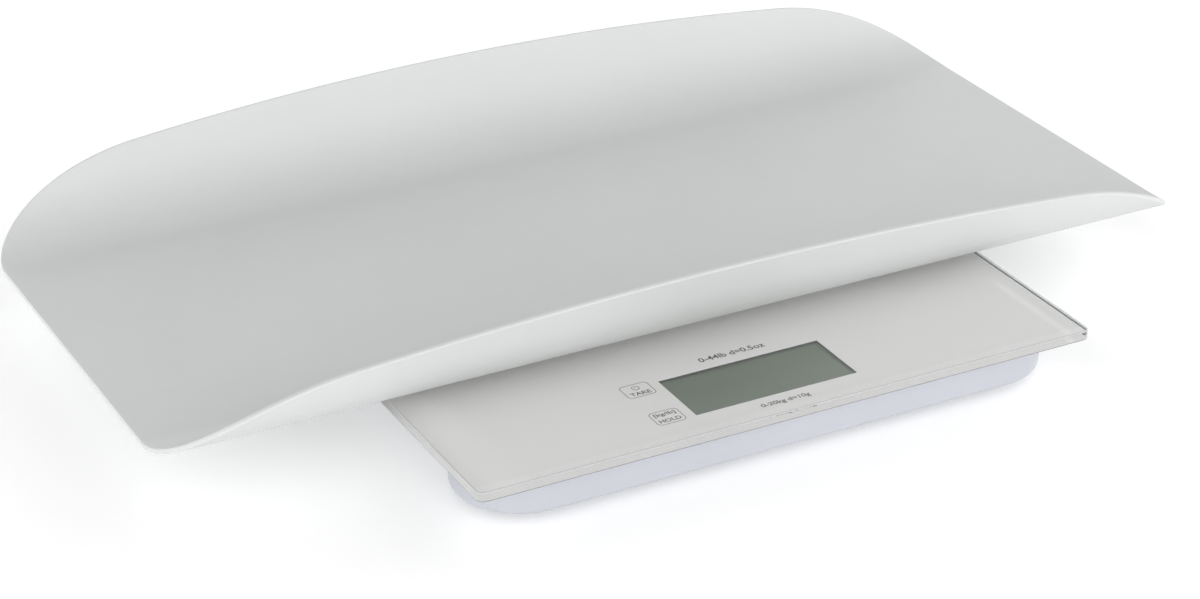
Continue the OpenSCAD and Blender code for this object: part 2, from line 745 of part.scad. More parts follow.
module touch_spring(y) {
    turns = 4;
    height = print_z - board_top - 2 * wire_clear - touch_wire_d;
    radius = (touch_coil_d - touch_wire_d) / 2;
    translate([-key_x, y, board_top + wire_clear + touch_wire_d / 2])
        wire(coil_path(radius, radius, height, turns), touch_wire_d, [1, 0, 0], 6);
}

module touch_spring_tare() {
    color("silver") touch_spring(key_y[1]);
}

module touch_spring_hold() {
    color("silver") touch_spring(key_y[0]);
}

module board_screws() {
    color("silver") for (p = board_screw_at) translate([p.x, p.y, board_top]) mirror([0, 0, 1])
        pan_screw(board_t + board_bite);
}

// Steel plate whose tongue bends when the foot presses it
module load_cell(sx, sy) {
    color("lightsteelblue") translate([sx * cell_x, plat_y + sy * cell_y, cell_z])
        linear_extrude(cell_t) difference() {
            rounded_rect(cell_s, cell_s, cell_r);
            difference() {
                translate([-tongue_w / 2 - slot_w, -tongue_l / 2 - slot_w])
                    square([tongue_w + 2 * slot_w, tongue_l + slot_w]);
                translate([-tongue_w / 2, -tongue_l / 2]) square([tongue_w, tongue_l + cut]);
            }
        }
}

module strain_gauges() {
    gauge = [5, 6, 0.2];
    root_gap = 1;
    gauge_y = tongue_l / 2 - root_gap - gauge.y;
    color("orange") for (c = corners)
        translate([c.x * cell_x - gauge.x / 2, plat_y + c.y * cell_y + gauge_y, cell_z + cell_t])
            cube(gauge);
}

module cell_bracket(sx, sy) {
    color("white") translate([sx * cell_x, plat_y + sy * cell_y, foot_h]) difference() {
        bracket_outline(bracket_t, 0);
        translate([0, 0, -cut]) cylinder(d = foot_d + 2 * fit_clear, h = bracket_t + 2 * cut);
        for (s = [-1, 1]) translate([s * ear_x, 0, -cut])
            cylinder(d = screw_d + 2 * screw_clear, h = bracket_t + 2 * cut);
    }
}

module bracket_screws() {
    color("silver") for (c = corners, s = [-1, 1])
        translate([c.x * cell_x + s * ear_x, plat_y + c.y * cell_y, foot_h])
            pan_screw(bracket_t + bracket_bite);
}

module foot_cup(sx, sy) {
    color("white") translate([sx * cell_x, plat_y + sy * cell_y, 0]) difference() {
        union() {
            translate([0, 0, cup_z]) cylinder(d = foot_d, h = flange_z - cup_z);
            translate([0, 0, flange_z]) cylinder(d = flange_d, h = flange_t);
            translate([0, 0, flange_z + flange_t]) cylinder(d = boss_d, h = boss_h);
        }
        translate([0, 0, cup_z - cut]) cylinder(d = sole_d + 2 * fit_clear, h = sole_recess + cut);
    }
}

module foot_pad(sx, sy) {
    color("gray") translate([sx * cell_x, plat_y + sy * cell_y, 0]) cylinder(d = sole_d, h = sole_t);
}

// One battery, tip towards +X, from its flat end
module battery() {
    rotate([0, 90, 0]) {
        cylinder(d = battery_d, h = battery_l - tip_l);
        cylinder(d = tip_d, h = battery_l);
    }
}

module batteries() {
    color("darkslateblue") for (s = [0, 1]) translate([0, bay_y, battery_z]) rotate([0, 0, 180 * s])
        translate([bay_l / 2 - contact_t - battery_l, -battery_y, 0]) battery();
}

module battery_springs() {
    turns = 3;
    wide_r = battery_d / 2 - 1;
    length = spring_l - 2 * wire_clear - spring_wire_d;
    color("silver") for (s = [0, 1]) translate([0, bay_y, battery_z]) rotate([0, 0, 180 * s])
        translate([-bay_l / 2 + contact_t + wire_clear + spring_wire_d / 2, -battery_y, 0]) rotate([0, 90, 0])
            wire(coil_path(wide_r, tip_d / 2, length, turns), spring_wire_d, [1, 0, 0], 6);
}

module battery_plates() {
    plate = [contact_t, contact_s, contact_s];
    color("gold") for (x = [-1, 1], y = [-1, 1]) {
        px = x * (bay_l / 2 - contact_t / 2) - contact_t / 2;
        translate([px, bay_y + y * battery_y - plate.y / 2, battery_z - plate.z / 2]) cube(plate);
        translate([px, bay_y + y * battery_y - solder_tab_w / 2, battery_z])
            cube([contact_t, solder_tab_w, bay_top + solder_tab_h - battery_z]);
    }
}

module battery_door() {
    color("white") translate([0, bay_y, foot_h]) {
        translate([-door_l / 2, -door_w / 2, 0]) cube([door_l, door_w, door_t]);
        for (s = [-1, 1]) translate([-door_l / 2 - door_tab_l, s * tab_y - door_tab_w / 2, door_t])
            cube([door_tab_l + door_ledge, door_tab_w, door_tab_t]);
        translate([door_l / 2 - hook_t, -hook_w / 2, door_t]) cube([hook_t, hook_w, hook_h]);
    }
}

// Route of a load cell's lead: out of its well, along the floor, and up to the board.
// The front leads meet the board nearer the middle than the rear ones do.
function cell_lead_path(c) =
    let (
        front = c.y < 0,
        bend = 2.5 * cell_lead_d,
        run_z = floor_z + cell_lead_d / 2 + wire_clear,
        out_z = cell_z - notch / 2,
        end_x = c.x * (front ? front_lead_x : rear_lead_x),
        end_y = window_y + (front ? front_lead_y : rear_lead_y),
        out_x = c.x * (cell_x - well_out / 2),
        out_y = plat_y + c.y * cell_y + lead_y,
        lane = c.x * lead_lane,
        start = [
            [out_x + c.x * (well_wall + bend / 2), out_y, out_z], [out_x - c.x * bend, out_y, out_z],
            [out_x - c.x * 1.7 * bend, out_y, run_z + 1], [out_x - c.x * 2.3 * bend, out_y, run_z]
        ],
        along = [
            [lane + c.x, out_y - bend / 4, run_z], [lane, out_y - bend, run_z],
            [lane, end_y + 2 * bend, run_z], [lane - c.x, end_y + 1.2 * bend, run_z]
        ],
        end = [
            [end_x + c.x * bend, end_y, run_z], [end_x + c.x, end_y, run_z + 0.6],
            [end_x, end_y, run_z + 3], [end_x, end_y, board_z - wire_clear]
        ]
    )
    concat(start, front ? [] : along, end);

module cell_leads() {
    color("firebrick") for (c = corners) wire(cell_lead_path(c), cell_lead_d, [0, 0, 1]);
}

// From the solder tabs of the bay to the top of the board
module battery_leads() {
    bend = 3 * battery_lead_d;
    start_z = bay_top + solder_tab_h / 2 + wire_clear;
    end_z = board_top + wire_clear;
    start_y = bay_y - battery_y;
    end_y = board_y1 - battery_lead_d * 2;
    color("crimson") for (s = [-1, 1]) {
        x = s * (bay_l / 2 + battery_lead_d / 2 + wire_clear);
        wire([[x, start_y, start_z], [x, start_y - bend, start_z], [x, end_y + 1.5 * bend, start_z],
            [x, end_y + bend / 2, start_z - 0.4], [x, end_y + 0.4, start_z - 1.2], [x, end_y, end_z]],
            battery_lead_d, [0, 0, 1]);
    }
}

tray();
tray_pads();
glass_platform();
back_print();
bond_tape();
base_shell();
window_gasket();
lcd_panel();
lcd_frame();
zebra_strips();
circuit_board();
chip_blob();
board_parts();
touch_spring_tare();
touch_spring_hold();
board_screws();
load_cell(-1, -1);  // load_cell_front_left
load_cell(1, -1);  // load_cell_front_right
load_cell(-1, 1);  // load_cell_rear_left
load_cell(1, 1);  // load_cell_rear_right
strain_gauges();
cell_bracket(-1, -1);  // cell_bracket_front_left
cell_bracket(1, -1);  // cell_bracket_front_right
cell_bracket(-1, 1);  // cell_bracket_rear_left
cell_bracket(1, 1);  // cell_bracket_rear_right
bracket_screws();
foot_cup(-1, -1);  // foot_cup_front_left
foot_cup(1, -1);  // foot_cup_front_right
foot_cup(-1, 1);  // foot_cup_rear_left
foot_cup(1, 1);  // foot_cup_rear_right
foot_pad(-1, -1);  // foot_pad_front_left
foot_pad(1, -1);  // foot_pad_front_right
foot_pad(-1, 1);  // foot_pad_rear_left
foot_pad(1, 1);  // foot_pad_rear_right
batteries();
battery_springs();
battery_plates();
battery_door();
cell_leads();
battery_leads();
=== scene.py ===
"""Looks of a digital baby weighing scale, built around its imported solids.

Metres, in the part's own frame: +Z is up, +X runs along the tray and the display faces -Y.
"""
import math

import bmesh
import bpy
import numpy as np
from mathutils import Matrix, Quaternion, Vector


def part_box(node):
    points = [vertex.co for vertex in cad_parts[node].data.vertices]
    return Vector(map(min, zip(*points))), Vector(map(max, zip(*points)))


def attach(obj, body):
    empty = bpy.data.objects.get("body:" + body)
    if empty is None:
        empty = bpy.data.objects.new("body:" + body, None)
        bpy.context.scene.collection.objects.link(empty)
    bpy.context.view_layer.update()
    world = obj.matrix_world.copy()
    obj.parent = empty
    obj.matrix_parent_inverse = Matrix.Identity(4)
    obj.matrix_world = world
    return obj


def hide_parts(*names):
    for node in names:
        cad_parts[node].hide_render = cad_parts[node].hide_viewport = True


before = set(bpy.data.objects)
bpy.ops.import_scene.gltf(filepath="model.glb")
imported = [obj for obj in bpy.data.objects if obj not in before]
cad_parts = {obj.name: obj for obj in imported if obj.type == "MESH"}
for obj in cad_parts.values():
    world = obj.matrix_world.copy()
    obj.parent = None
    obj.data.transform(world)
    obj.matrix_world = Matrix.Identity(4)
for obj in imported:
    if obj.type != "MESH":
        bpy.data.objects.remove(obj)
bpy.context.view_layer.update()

MM = 0.001
GLASS_LO, GLASS_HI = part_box("glass_platform")
TRAY_LO, TRAY_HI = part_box("tray")
LCD_LO, LCD_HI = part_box("lcd_panel")
GLASS_MID = (GLASS_LO + GLASS_HI) / 2

# Tray: a sheet bent up along both sides and cut along an arched rim
TRAY_FLAT_W = 183 * MM
TRAY_BEND_R = 46.5 * MM
TRAY_SHEET = 2.5 * MM
TRAY_GAP = 1 * MM
SIDE_SLOPE = math.atan2(117, 44)
RIM_ARCH_R = 1980 * MM
RIM_FALL_X = 189 * MM
TRAY_CORNER_R = 41 * MM
TRAY_L = TRAY_HI.x - TRAY_LO.x
TRAY_HALF_W = (TRAY_HI.y - TRAY_LO.y) / 2
TRAY_MID_Y = (TRAY_LO.y + TRAY_HI.y) / 2
TRAY_Z = GLASS_HI.z + TRAY_GAP
TRAY_RISE = TRAY_HI.z - TRAY_Z

# The sheet is drawn from its middle, and its edge bulges outward by half its thickness
SHEET_EDGE = TRAY_SHEET / 2
MID_BEND_R = TRAY_BEND_R - SHEET_EDGE
EDGE_SQUARENESS = 3
RIM_SET_BACK = 1.08 * SHEET_EDGE
RIM_LOOK_AHEAD = 0.8 * SHEET_EDGE
# Its corners are a little rounder than the solid's, and pass softly into the rim
ROUND_R = TRAY_CORNER_R + 1 * MM
RIM_BLEND = 1.5 * MM
# How finely it is divided
STRAIGHT_COLUMNS = 90
CORNER_COLUMNS = 48
HALF_ROWS = 60
EDGE_TURNS = 12

# Lugs under the tray and their gussets
LUG_X = 160.8 * MM
LUG_L = 60 * MM
LUG_T = 3 * MM
LUG_DROP = 5 * MM
LUG_BEVEL = 0.3 * MM
LUG_SHORT_EDGE = 2 * MM
GUSSET = 8 * MM
GUSSET_ROOT = 1 * MM
GUSSET_TOE = 0.4 * MM
RIB_T = 1.5 * MM
RIB_INSET = 0.01 * MM

# Glass platform, its print and the clear window over the display
GLASS_CORNER_R = 4 * MM
GLASS_CORNER_STEPS = 12
GLASS_EDGE_R = 0.6 * MM
GLASS_EDGE_STEPS = 4
PRINT_MARGIN = 1.5 * MM
PRINT_LIFT = 0.03 * MM
WINDOW_W = 85 * MM
WINDOW_D = 35.5 * MM
WINDOW_X = (LCD_LO.x + LCD_HI.x) / 2
WINDOW_Y = (LCD_LO.y + LCD_HI.y) / 2
# Materials of the glass plate's faces, and their places in its list
GLASS_FINISHES = ("platform_glass", "white_print", "ground_edge", "clear_margin", "shaded_edge")
CLEAR, PRINTED, TOP_EDGE, MARGIN, LOWER_EDGE = range(len(GLASS_FINISHES))

# Printed keys, and the sign on one of them
INK_Z = GLASS_LO.z + PRINT_LIFT + 0.02 * MM
KEY_X = -54.6 * MM
HOLD_Y = WINDOW_Y - WINDOW_D / 2 + 4.9 * MM
TARE_Y = WINDOW_Y - WINDOW_D / 2 + 32.3 * MM
KEY_W = 14.2 * MM
KEY_D = 11.4 * MM
KEY_CORNER_R = 2 * MM
KEY_CORNER_STEPS = 6
KEY_LINE = 0.35 * MM
SIGN_Y = TARE_Y + 2.2 * MM
SIGN_R = 1.7 * MM
SIGN_LINE = 0.4 * MM
SIGN_START = 120
SIGN_TURN = 300
SIGN_STEPS = 24
STROKE_FOOT = 0.2 * MM
STROKE_TOP = 2.3 * MM

# Printed words: what they say, where their middle is, and their width and height
LETTER_BOLDNESS = 0.022
LETTER_STEPS = 3
WORDS = {
    "tare_letters": ("TARE", KEY_X, TARE_Y - 2.9 * MM, 10.4 * MM, 2.9 * MM),
    "unit_letters": ("[kg/lb]", KEY_X, HOLD_Y + 2.6 * MM, 10.8 * MM, 3.4 * MM),
    "hold_letters": ("HOLD", KEY_X, HOLD_Y - 2.7 * MM, 11.0 * MM, 2.9 * MM),
    "range_metric": ("0-20kg d=10g", WINDOW_X, WINDOW_Y - 24.7 * MM, 25.4 * MM, 3.9 * MM),
    "range_imperial": ("0-44lb d=0.5oz", WINDOW_X + 1 * MM, WINDOW_Y + 25.7 * MM, 34.7 * MM, 4.0 * MM),
}

# Noises: scale and detail, and the span that they seldom leave
CLOUD_NOISE = (14, 3)
GLOSS_NOISE = (90, 4)
SMEAR_NOISE = (25, 2)
DISPLAY_NOISE = (40, 2)
FLOOR_NOISE = (3, 2)
GRAIN_DETAIL = 3
NOISE_LOW, NOISE_HIGH = 0.3, 0.7
GLOSS_DRIFT = 0.04
GRAIN_DEPTH = 0.05 * MM

# Camera of the photograph
CAMERA_AT = GLASS_MID + Vector((-640.512, -1157.120, 668.022)) * MM
CAMERA_AIM = GLASS_MID + Vector((-29.194, -25.365, 2.5)) * MM
CAMERA_ROLL = math.radians(0.24543)
CAMERA_LENS = 91.0414
CAMERA_NEAR = 0.05
SENSOR_W = 36

# Studio light: radiance of the sky all round, and what is added towards -Y and -X
SKY_HORIZON = 1.88
SKY_FRONT = 0.64
SKY_LEFT = 0.50
# A weak soft lamp that lifts the right end of the tray
FILL_AT = Vector((1.4, -0.2, 0.8))
FILL_AIM = Vector((0, 0, 0.04))
FILL_W, FILL_H = 1.0, 0.8
FILL_POWER = 3.4
# Floor, with a faint glow of its own
FLOOR_HALF = 3.0
FLOOR_SHADES = ((0.88, 0.88, 0.88), (0.90, 0.90, 0.90))
FLOOR_GLOW = 0.25


# ---------------------------------------------------------------- meshes

def link(name, data):
    """An object that holds a mesh, a curve, a lamp or a camera, put into the scene."""
    obj = bpy.data.objects.new(name, data)
    bpy.context.scene.collection.objects.link(obj)
    return obj


def settle(piece, body, finish, replaced=()):
    """Gives a piece its material and makes it ride on a body."""
    piece.data.materials.append(MATERIALS[finish])
    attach(piece, body)
    if replaced:
        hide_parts(*replaced)
    return piece


def mesh_of(name, bm):
    """Turns a bmesh into a mesh, and frees it."""
    mesh = bpy.data.meshes.new(name)
    bm.to_mesh(mesh)
    bm.free()
    return mesh


def shade_smooth(mesh):
    for face in mesh.polygons:
        face.use_smooth = True


def solid_piece(name, bm, body, finish, replaced):
    """A piece from a bmesh, shaded so that its large faces stay flat and its rounded edges smooth."""
    mesh = mesh_of(name, bm)
    shade_smooth(mesh)
    piece = link(name, mesh)
    even = piece.modifiers.new("even_normals", "WEIGHTED_NORMAL")
    even.weight = 100
    even.keep_sharp = True
    return settle(piece, body, finish, replaced)


def rounded_rect(cx, cy, w, d, r, steps):
    """Points of a rounded rectangle, counter-clockwise from its right side's lower corner."""
    points = []
    for k, (sx, sy) in enumerate(((1, -1), (1, 1), (-1, 1), (-1, -1))):
        for i in range(steps + 1):
            a = math.radians(90 * (k - 1) + 90 * i / steps)
            x = cx + sx * (w / 2 - r) + r * math.cos(a)
            y = cy + sy * (d / 2 - r) + r * math.sin(a)
            points.append((x, y))
    return points


# ---------------------------------------------------------------- materials

def node(tree, kind, inputs=(), **settings):
    """Adds a node. Each input is a plain value or another node's output."""
    n = tree.nodes.new(kind)
    for key, value in settings.items():
        setattr(n, key, value)
    for key, value in dict(inputs).items():
        if isinstance(value, bpy.types.NodeSocket):
            tree.links.new(value, n.inputs[key])
        else:
            n.inputs[key].default_value = value
    return n


def start_material(name):
    material = bpy.data.materials.new(name)
    material.use_nodes = True
    tree = material.node_tree
    tree.nodes.clear()
    return material, tree


def end_material(tree, shader):
    node(tree, "ShaderNodeOutputMaterial", {"Surface": shader.outputs[0]})


def where(tree):
    """Place on the part, in metres."""
    return tree.nodes.new("ShaderNodeTexCoord").outputs["Object"]


def by_axis(tree, vector):
    return node(tree, "ShaderNodeSeparateXYZ", {"Vector": vector}).outputs


def noise(tree, scale, detail):
    return node(tree, "ShaderNodeTexNoise", {
        "Vector": where(tree), "Scale": scale, "Detail": detail, "Roughness": 0.5}).outputs["Fac"]


def remap(tree, value, start, end, low, high, **settings):
    """Runs from low to high while a value runs from start to end, and stays level beyond them."""
    return node(tree, "ShaderNodeMapRange", {
        "Value": value, "From Min": start, "From Max": end, "To Min": low, "To Max": high},
        **settings).outputs["Result"]


def wander(tree, kind, low, high):
    """Wanders over the surface between low and high. kind is a noise's scale and detail."""
    return remap(tree, noise(tree, *kind), NOISE_LOW, NOISE_HIGH, low, high)


def fold(tree, how, *values):
    """Adds values, multiplies them or takes the largest, as a chain of Math nodes."""
    result = values[0]
    for value in values[1:]:
        result = node(tree, "ShaderNodeMath", {0: result, 1: value}, operation=how).outputs[0]
    return result


def shade_mix(tree, value, first, second):
    """Mixes two colours. Inputs 6 and 7 and output 2 are the colour sockets of a Mix node."""
    return node(tree, "ShaderNodeMix", {"Factor": value, 6: (*first, 1), 7: (*second, 1)},
                data_type="RGBA").outputs[2]


def clouded(tree, colour, drift):
    """A colour that drifts slowly between a little darker and a little lighter."""
    darker = tuple(c * (1 - drift) for c in colour)
    lighter = tuple(min(c * (1 + drift), 1) for c in colour)
    return shade_mix(tree, wander(tree, CLOUD_NOISE, 0, 1), darker, lighter)


def scaled(tree, colour, factor):
    return node(tree, "ShaderNodeVectorMath", {0: colour, "Scale": factor}, operation="SCALE").outputs[0]


def plastic(name, colour, rough=0.4, grain=2600, bump=0.12, drift=0.02, metallic=0.0, coat=0.0):
    """Moulded plastic, rubber or metal: a fine grain, slow drifts of colour and uneven gloss."""
    material, tree = start_material(name)
    relief = node(tree, "ShaderNodeBump", {
        "Strength": bump, "Distance": GRAIN_DEPTH, "Height": noise(tree, grain, GRAIN_DETAIL)})
    end_material(tree, node(tree, "ShaderNodeBsdfPrincipled", {
        "Base Color": clouded(tree, colour, drift), "Normal": relief.outputs["Normal"],
        "Roughness": wander(tree, GLOSS_NOISE, rough - GLOSS_DRIFT, rough + GLOSS_DRIFT),
        "Metallic": metallic, "Coat Weight": coat}))
    return material


def clear_glass(name):
    """Glass that bends what the camera sees and lets lamp light through to the print."""
    material, tree = start_material(name)
    tint = (0.985, 0.99, 0.987, 1)
    glass = node(tree, "ShaderNodeBsdfPrincipled", {
        "Base Color": tint, "Roughness": wander(tree, SMEAR_NOISE, 0.01, 0.03),
        "Transmission Weight": 1.0, "IOR": 1.5})
    through = node(tree, "ShaderNodeBsdfTransparent", {"Color": tint})
    path = tree.nodes.new("ShaderNodeLightPath").outputs
    lamp_ray = fold(tree, "MAXIMUM", path["Is Shadow Ray"], path["Is Diffuse Ray"])
    end_material(tree, node(tree, "ShaderNodeMixShader", {
        "Fac": lamp_ray, 1: glass.outputs[0], 2: through.outputs[0]}))
    return material


def print_material(name):
    """White print behind the glass, a little lighter in soft bands of painted light along three of its
    borders, standing in for light from below that shows through the print.
    """
    material, tree = start_material(name)
    across = by_axis(tree, where(tree))

    def step(axis, border, start, end, low, high):
        """Runs from low to high between two distances from a border, in millimetres."""
        return remap(tree, across[axis], border + start * MM, border + end * MM, low, high,
                     interpolation_type="SMOOTHSTEP")

    front, left, right = GLASS_LO.y, GLASS_LO.x, GLASS_HI.x
    # Painted light: the front, left and right bands lighten the print where light from below shows
    # through it over the glass's overhang
    front_painted_light = step("Y", front, 6, 10, 0.05, 0)
    left_painted_light = fold(tree, "MULTIPLY", step("X", left, 2, 10, 0, 0.04), step("X", left, 15, 32, 1, 0))
    right_painted_light = fold(tree, "MULTIPLY", step("X", right, -13, -9.5, 0, 0.10),
                      step("X", right, -9, -6, 1, 0), step("Y", front, 55, 75, 1, 0))
    painted_light_gain = fold(tree, "ADD", 1.0, front_painted_light, left_painted_light, right_painted_light)
    end_material(tree, node(tree, "ShaderNodeBsdfPrincipled", {
        "Base Color": scaled(tree, clouded(tree, (0.78, 0.765, 0.765), 0.01), painted_light_gain),
        "Roughness": wander(tree, GLOSS_NOISE, 0.56, 0.64)}))
    return material


def display_material(name):
    """Reflective liquid crystal display, switched off: grey-green, its electrode grid just visible, with
    a painted reflection that makes it lighter towards the right.
    """
    material, tree = start_material(name)
    grid = node(tree, "ShaderNodeTexBrick", {
        "Vector": where(tree), "Scale": 900.0, "Mortar Size": 0.02,
        "Color1": (0.098, 0.133, 0.094, 1), "Color2": (0.102, 0.137, 0.098, 1),
        "Mortar": (0.085, 0.12, 0.082, 1)})
    # Painted reflection: the display's colour grows lighter from the window's left end to its right end
    painted_reflection_ramp = remap(tree, by_axis(tree, where(tree))["X"], WINDOW_X - WINDOW_W / 2,
                   WINDOW_X + WINDOW_W / 2, 0.96, 1.15)
    end_material(tree, node(tree, "ShaderNodeBsdfPrincipled", {
        "Base Color": scaled(tree, grid.outputs["Color"], painted_reflection_ramp),
        "Roughness": wander(tree, DISPLAY_NOISE, 0.12, 0.2)}))
    return material


PLASTICS = {
    "tray_plastic": dict(colour=(0.604, 0.618, 0.612), rough=0.42, bump=0.10, drift=0.012),
    "soft_pad": dict(colour=(0.72, 0.72, 0.70), rough=0.8),
    # Painted shade: the border round the print is an opaque light grey, standing in for the shaded
    # underside seen through the clear glass
    "clear_margin": dict(colour=(0.84, 0.85, 0.85), rough=0.6, grain=4000, bump=0.05),
    "ground_edge": dict(colour=(0.50, 0.51, 0.51), rough=0.55, grain=5000, bump=0.2),
    "shaded_edge": dict(colour=(0.17, 0.175, 0.18), rough=0.55, grain=5000, bump=0.2),
    "foam_tape": dict(colour=(0.62, 0.62, 0.60), rough=0.9, grain=1500, bump=0.4),
    "base_plastic": dict(colour=(0.478, 0.49, 0.536)),
    "dark_foam": dict(colour=(0.02, 0.02, 0.02), rough=0.95, grain=1500, bump=0.5),
    "inner_plastic": dict(colour=(0.74, 0.72, 0.66), rough=0.5),
    "contact_rubber": dict(colour=(0.015, 0.015, 0.017), rough=0.8),
    "board_green": dict(colour=(0.02, 0.13, 0.05), rough=0.35, grain=1800, bump=0.2, drift=0.1),
    "chip_black": dict(colour=(0.01, 0.01, 0.01), rough=0.3, grain=300, bump=0.3),
    "board_part": dict(colour=(0.05, 0.055, 0.06)),
    "spring_steel": dict(colour=(0.62, 0.63, 0.66), rough=0.2, metallic=1.0),
    "screw_steel": dict(colour=(0.5, 0.51, 0.53), rough=0.35, metallic=1.0, grain=5000, bump=0.2),
    "cell_steel": dict(colour=(0.5, 0.51, 0.54), rough=0.38, metallic=1.0, grain=5000, bump=0.2),
    "gauge_film": dict(colour=(0.5, 0.18, 0.03), coat=0.5),
    "foot_plastic": dict(colour=(0.74, 0.75, 0.76), rough=0.45),
    "foot_rubber": dict(colour=(0.13, 0.13, 0.135), rough=0.85, grain=1600, bump=0.4),
    "battery_jacket": dict(colour=(0.015, 0.02, 0.03), rough=0.25, coat=0.6),
    "contact_metal": dict(colour=(0.72, 0.64, 0.42), rough=0.25, metallic=1.0),
    "lead_red": dict(colour=(0.35, 0.02, 0.015), rough=0.45),
    "print_ink": dict(colour=(0.11, 0.11, 0.11), rough=0.6, grain=4000, bump=0.05),
}
MATERIALS = {name: plastic(name, **look) for name, look in PLASTICS.items()}
MATERIALS["platform_glass"] = clear_glass("platform_glass")
MATERIALS["white_print"] = print_material("white_print")
MATERIALS["display_glass"] = display_material("display_glass")

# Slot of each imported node, by the start of the node's name
NODE_SLOTS = {
    "tray": "tray_plastic", "tray_pads": "soft_pad", "glass_platform": "platform_glass",
    "back_print": "white_print", "bond_tape": "foam_tape", "base_shell": "base_plastic",
    "battery_door": "base_plastic", "cell_bracket": "base_plastic", "window_gasket": "dark_foam",
    "lcd_panel": "display_glass", "lcd_frame": "inner_plastic", "zebra_strips": "contact_rubber",
    "circuit_board": "board_green", "chip_blob": "chip_black", "board_parts": "board_part",
    "touch_spring": "spring_steel", "battery_springs": "spring_steel", "board_screws": "screw_steel",
    "bracket_screws": "screw_steel", "load_cell": "cell_steel", "strain_gauges": "gauge_film",
    "foot_cup": "foot_plastic", "foot_pad": "foot_rubber", "batteries": "battery_jacket",
    "battery_plates": "contact_metal", "cell_leads": "lead_red", "battery_leads": "lead_red",
}


def dress_nodes():
    """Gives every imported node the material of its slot. The longest start that fits decides."""
    for name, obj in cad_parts.items():
        start = max((key for key in NODE_SLOTS if name.startswith(key)), key=len)
        obj.data.materials.clear()
        obj.data.materials.append(MATERIALS[NODE_SLOTS[start]])


# ---------------------------------------------------------------- tray

def rim_height(x):
    """Top of the rim above the tray's underside, at a distance x from mid-length.

    One long arc, and past RIM_FALL_X a tighter one that meets it smoothly.
    """
    arch_centre = TRAY_RISE - RIM_ARCH_R
    if x < RIM_FALL_X:
        return arch_centre + math.sqrt(RIM_ARCH_R ** 2 - x * x)
    fall = np.array([RIM_FALL_X, arch_centre + math.sqrt(RIM_ARCH_R ** 2 - RIM_FALL_X ** 2)])
    direction = (fall - [0, arch_centre]) / RIM_ARCH_R
    chord = fall - [TRAY_L / 2, TRAY_SHEET]
    end_r = chord @ chord / (2 * direction @ chord)
    end_centre = fall - end_r * direction
    return end_centre[1] + math.sqrt(end_r ** 2 - (x - end_centre[0]) ** 2)


def section_point(s):
    """Place (y, z) and normal of the middle of the sheet, s along the section from the flat's middle."""
    side = 1 if s >= 0 else -1
    along = abs(s) - TRAY_FLAT_W / 2
    if along <= 0:
        return s, SHEET_EDGE, 0.0, 1.0
    a = min(along / MID_BEND_R, SIDE_SLOPE)
    past = max(along - MID_BEND_R * SIDE_SLOPE, 0)
    y = TRAY_FLAT_W / 2 + MID_BEND_R * math.sin(a) + past * math.cos(SIDE_SLOPE)
    z = TRAY_BEND_R - MID_BEND_R * math.cos(a) + past * math.sin(SIDE_SLOPE)
    return side * y, z, -side * math.sin(a), math.cos(a)


def length_to_height(z):
    """Length of the section past the flat, up to a height of the sheet's middle."""
    bend_top = TRAY_BEND_R - MID_BEND_R * math.cos(SIDE_SLOPE)
    if z <= bend_top:
        return MID_BEND_R * math.acos(min((TRAY_BEND_R - z) / MID_BEND_R, 1))
    return MID_BEND_R * SIDE_SLOPE + (z - bend_top) / math.sin(SIDE_SLOPE)


def length_to_reach(y):
    """Length of the section past the flat, out to a distance of the sheet's middle from the tray's."""
    out = y - TRAY_FLAT_W / 2
    bend_out = MID_BEND_R * math.sin(SIDE_SLOPE)
    if out <= 0:
        return out
    if out <= bend_out:
        return MID_BEND_R * math.asin(out / MID_BEND_R)
    return MID_BEND_R * SIDE_SLOPE + (out - bend_out) / math.cos(SIDE_SLOPE)


def half_section(x):
    """Length of the section from the flat's middle to the middle of the rim's round edge."""
    by_rim = length_to_height(rim_height(min(x + RIM_LOOK_AHEAD, TRAY_L / 2)) - RIM_SET_BACK)
    past = x - (TRAY_L / 2 - ROUND_R)
    if past <= 0:
        return TRAY_FLAT_W / 2 + by_rim
    corner = math.sqrt(max((ROUND_R - SHEET_EDGE) ** 2 - past ** 2, 0))
    by_plan = length_to_reach(TRAY_HALF_W - TRAY_CORNER_R + corner)
    blend = max(RIM_BLEND - abs(by_rim - by_plan), 0) / RIM_BLEND
    return TRAY_FLAT_W / 2 + min(by_rim, by_plan) - blend * blend * RIM_BLEND / 4


def tray_columns():
    """Places along the tray, closer together round its corners."""
    straight = TRAY_L / 2 - ROUND_R
    half = [straight * i / STRAIGHT_COLUMNS for i in range(STRAIGHT_COLUMNS + 1)]
    half += [straight + (ROUND_R - SHEET_EDGE) * math.sin(math.radians(90 * i / CORNER_COLUMNS))
             for i in range(1, CORNER_COLUMNS + 1)]
    return [-x for x in reversed(half[1:])] + half


def sheet_grid(columns):
    """Places on the sheet's middle and their normals, by column and row."""
    grid = np.zeros((len(columns), 2 * HALF_ROWS + 1, 6))
    for i, x in enumerate(columns):
        reach = half_section(abs(x))
        for k in range(2 * HALF_ROWS + 1):
            y, z, ny, nz = section_point(reach * (k - HALF_ROWS) / HALF_ROWS)
            grid[i, k] = (x, TRAY_MID_Y + y, TRAY_Z + z, 0, ny, nz)
    return grid[..., :3], grid[..., 3:]


def squared_turn(a, power, up_axis, out_axis):
    """A step of the half turn round the sheet's edge, made squarer or rounder by a power."""
    up, over = math.cos(a), math.sin(a)
    return math.copysign(abs(up) ** power, up) * up_axis + over ** power * out_axis


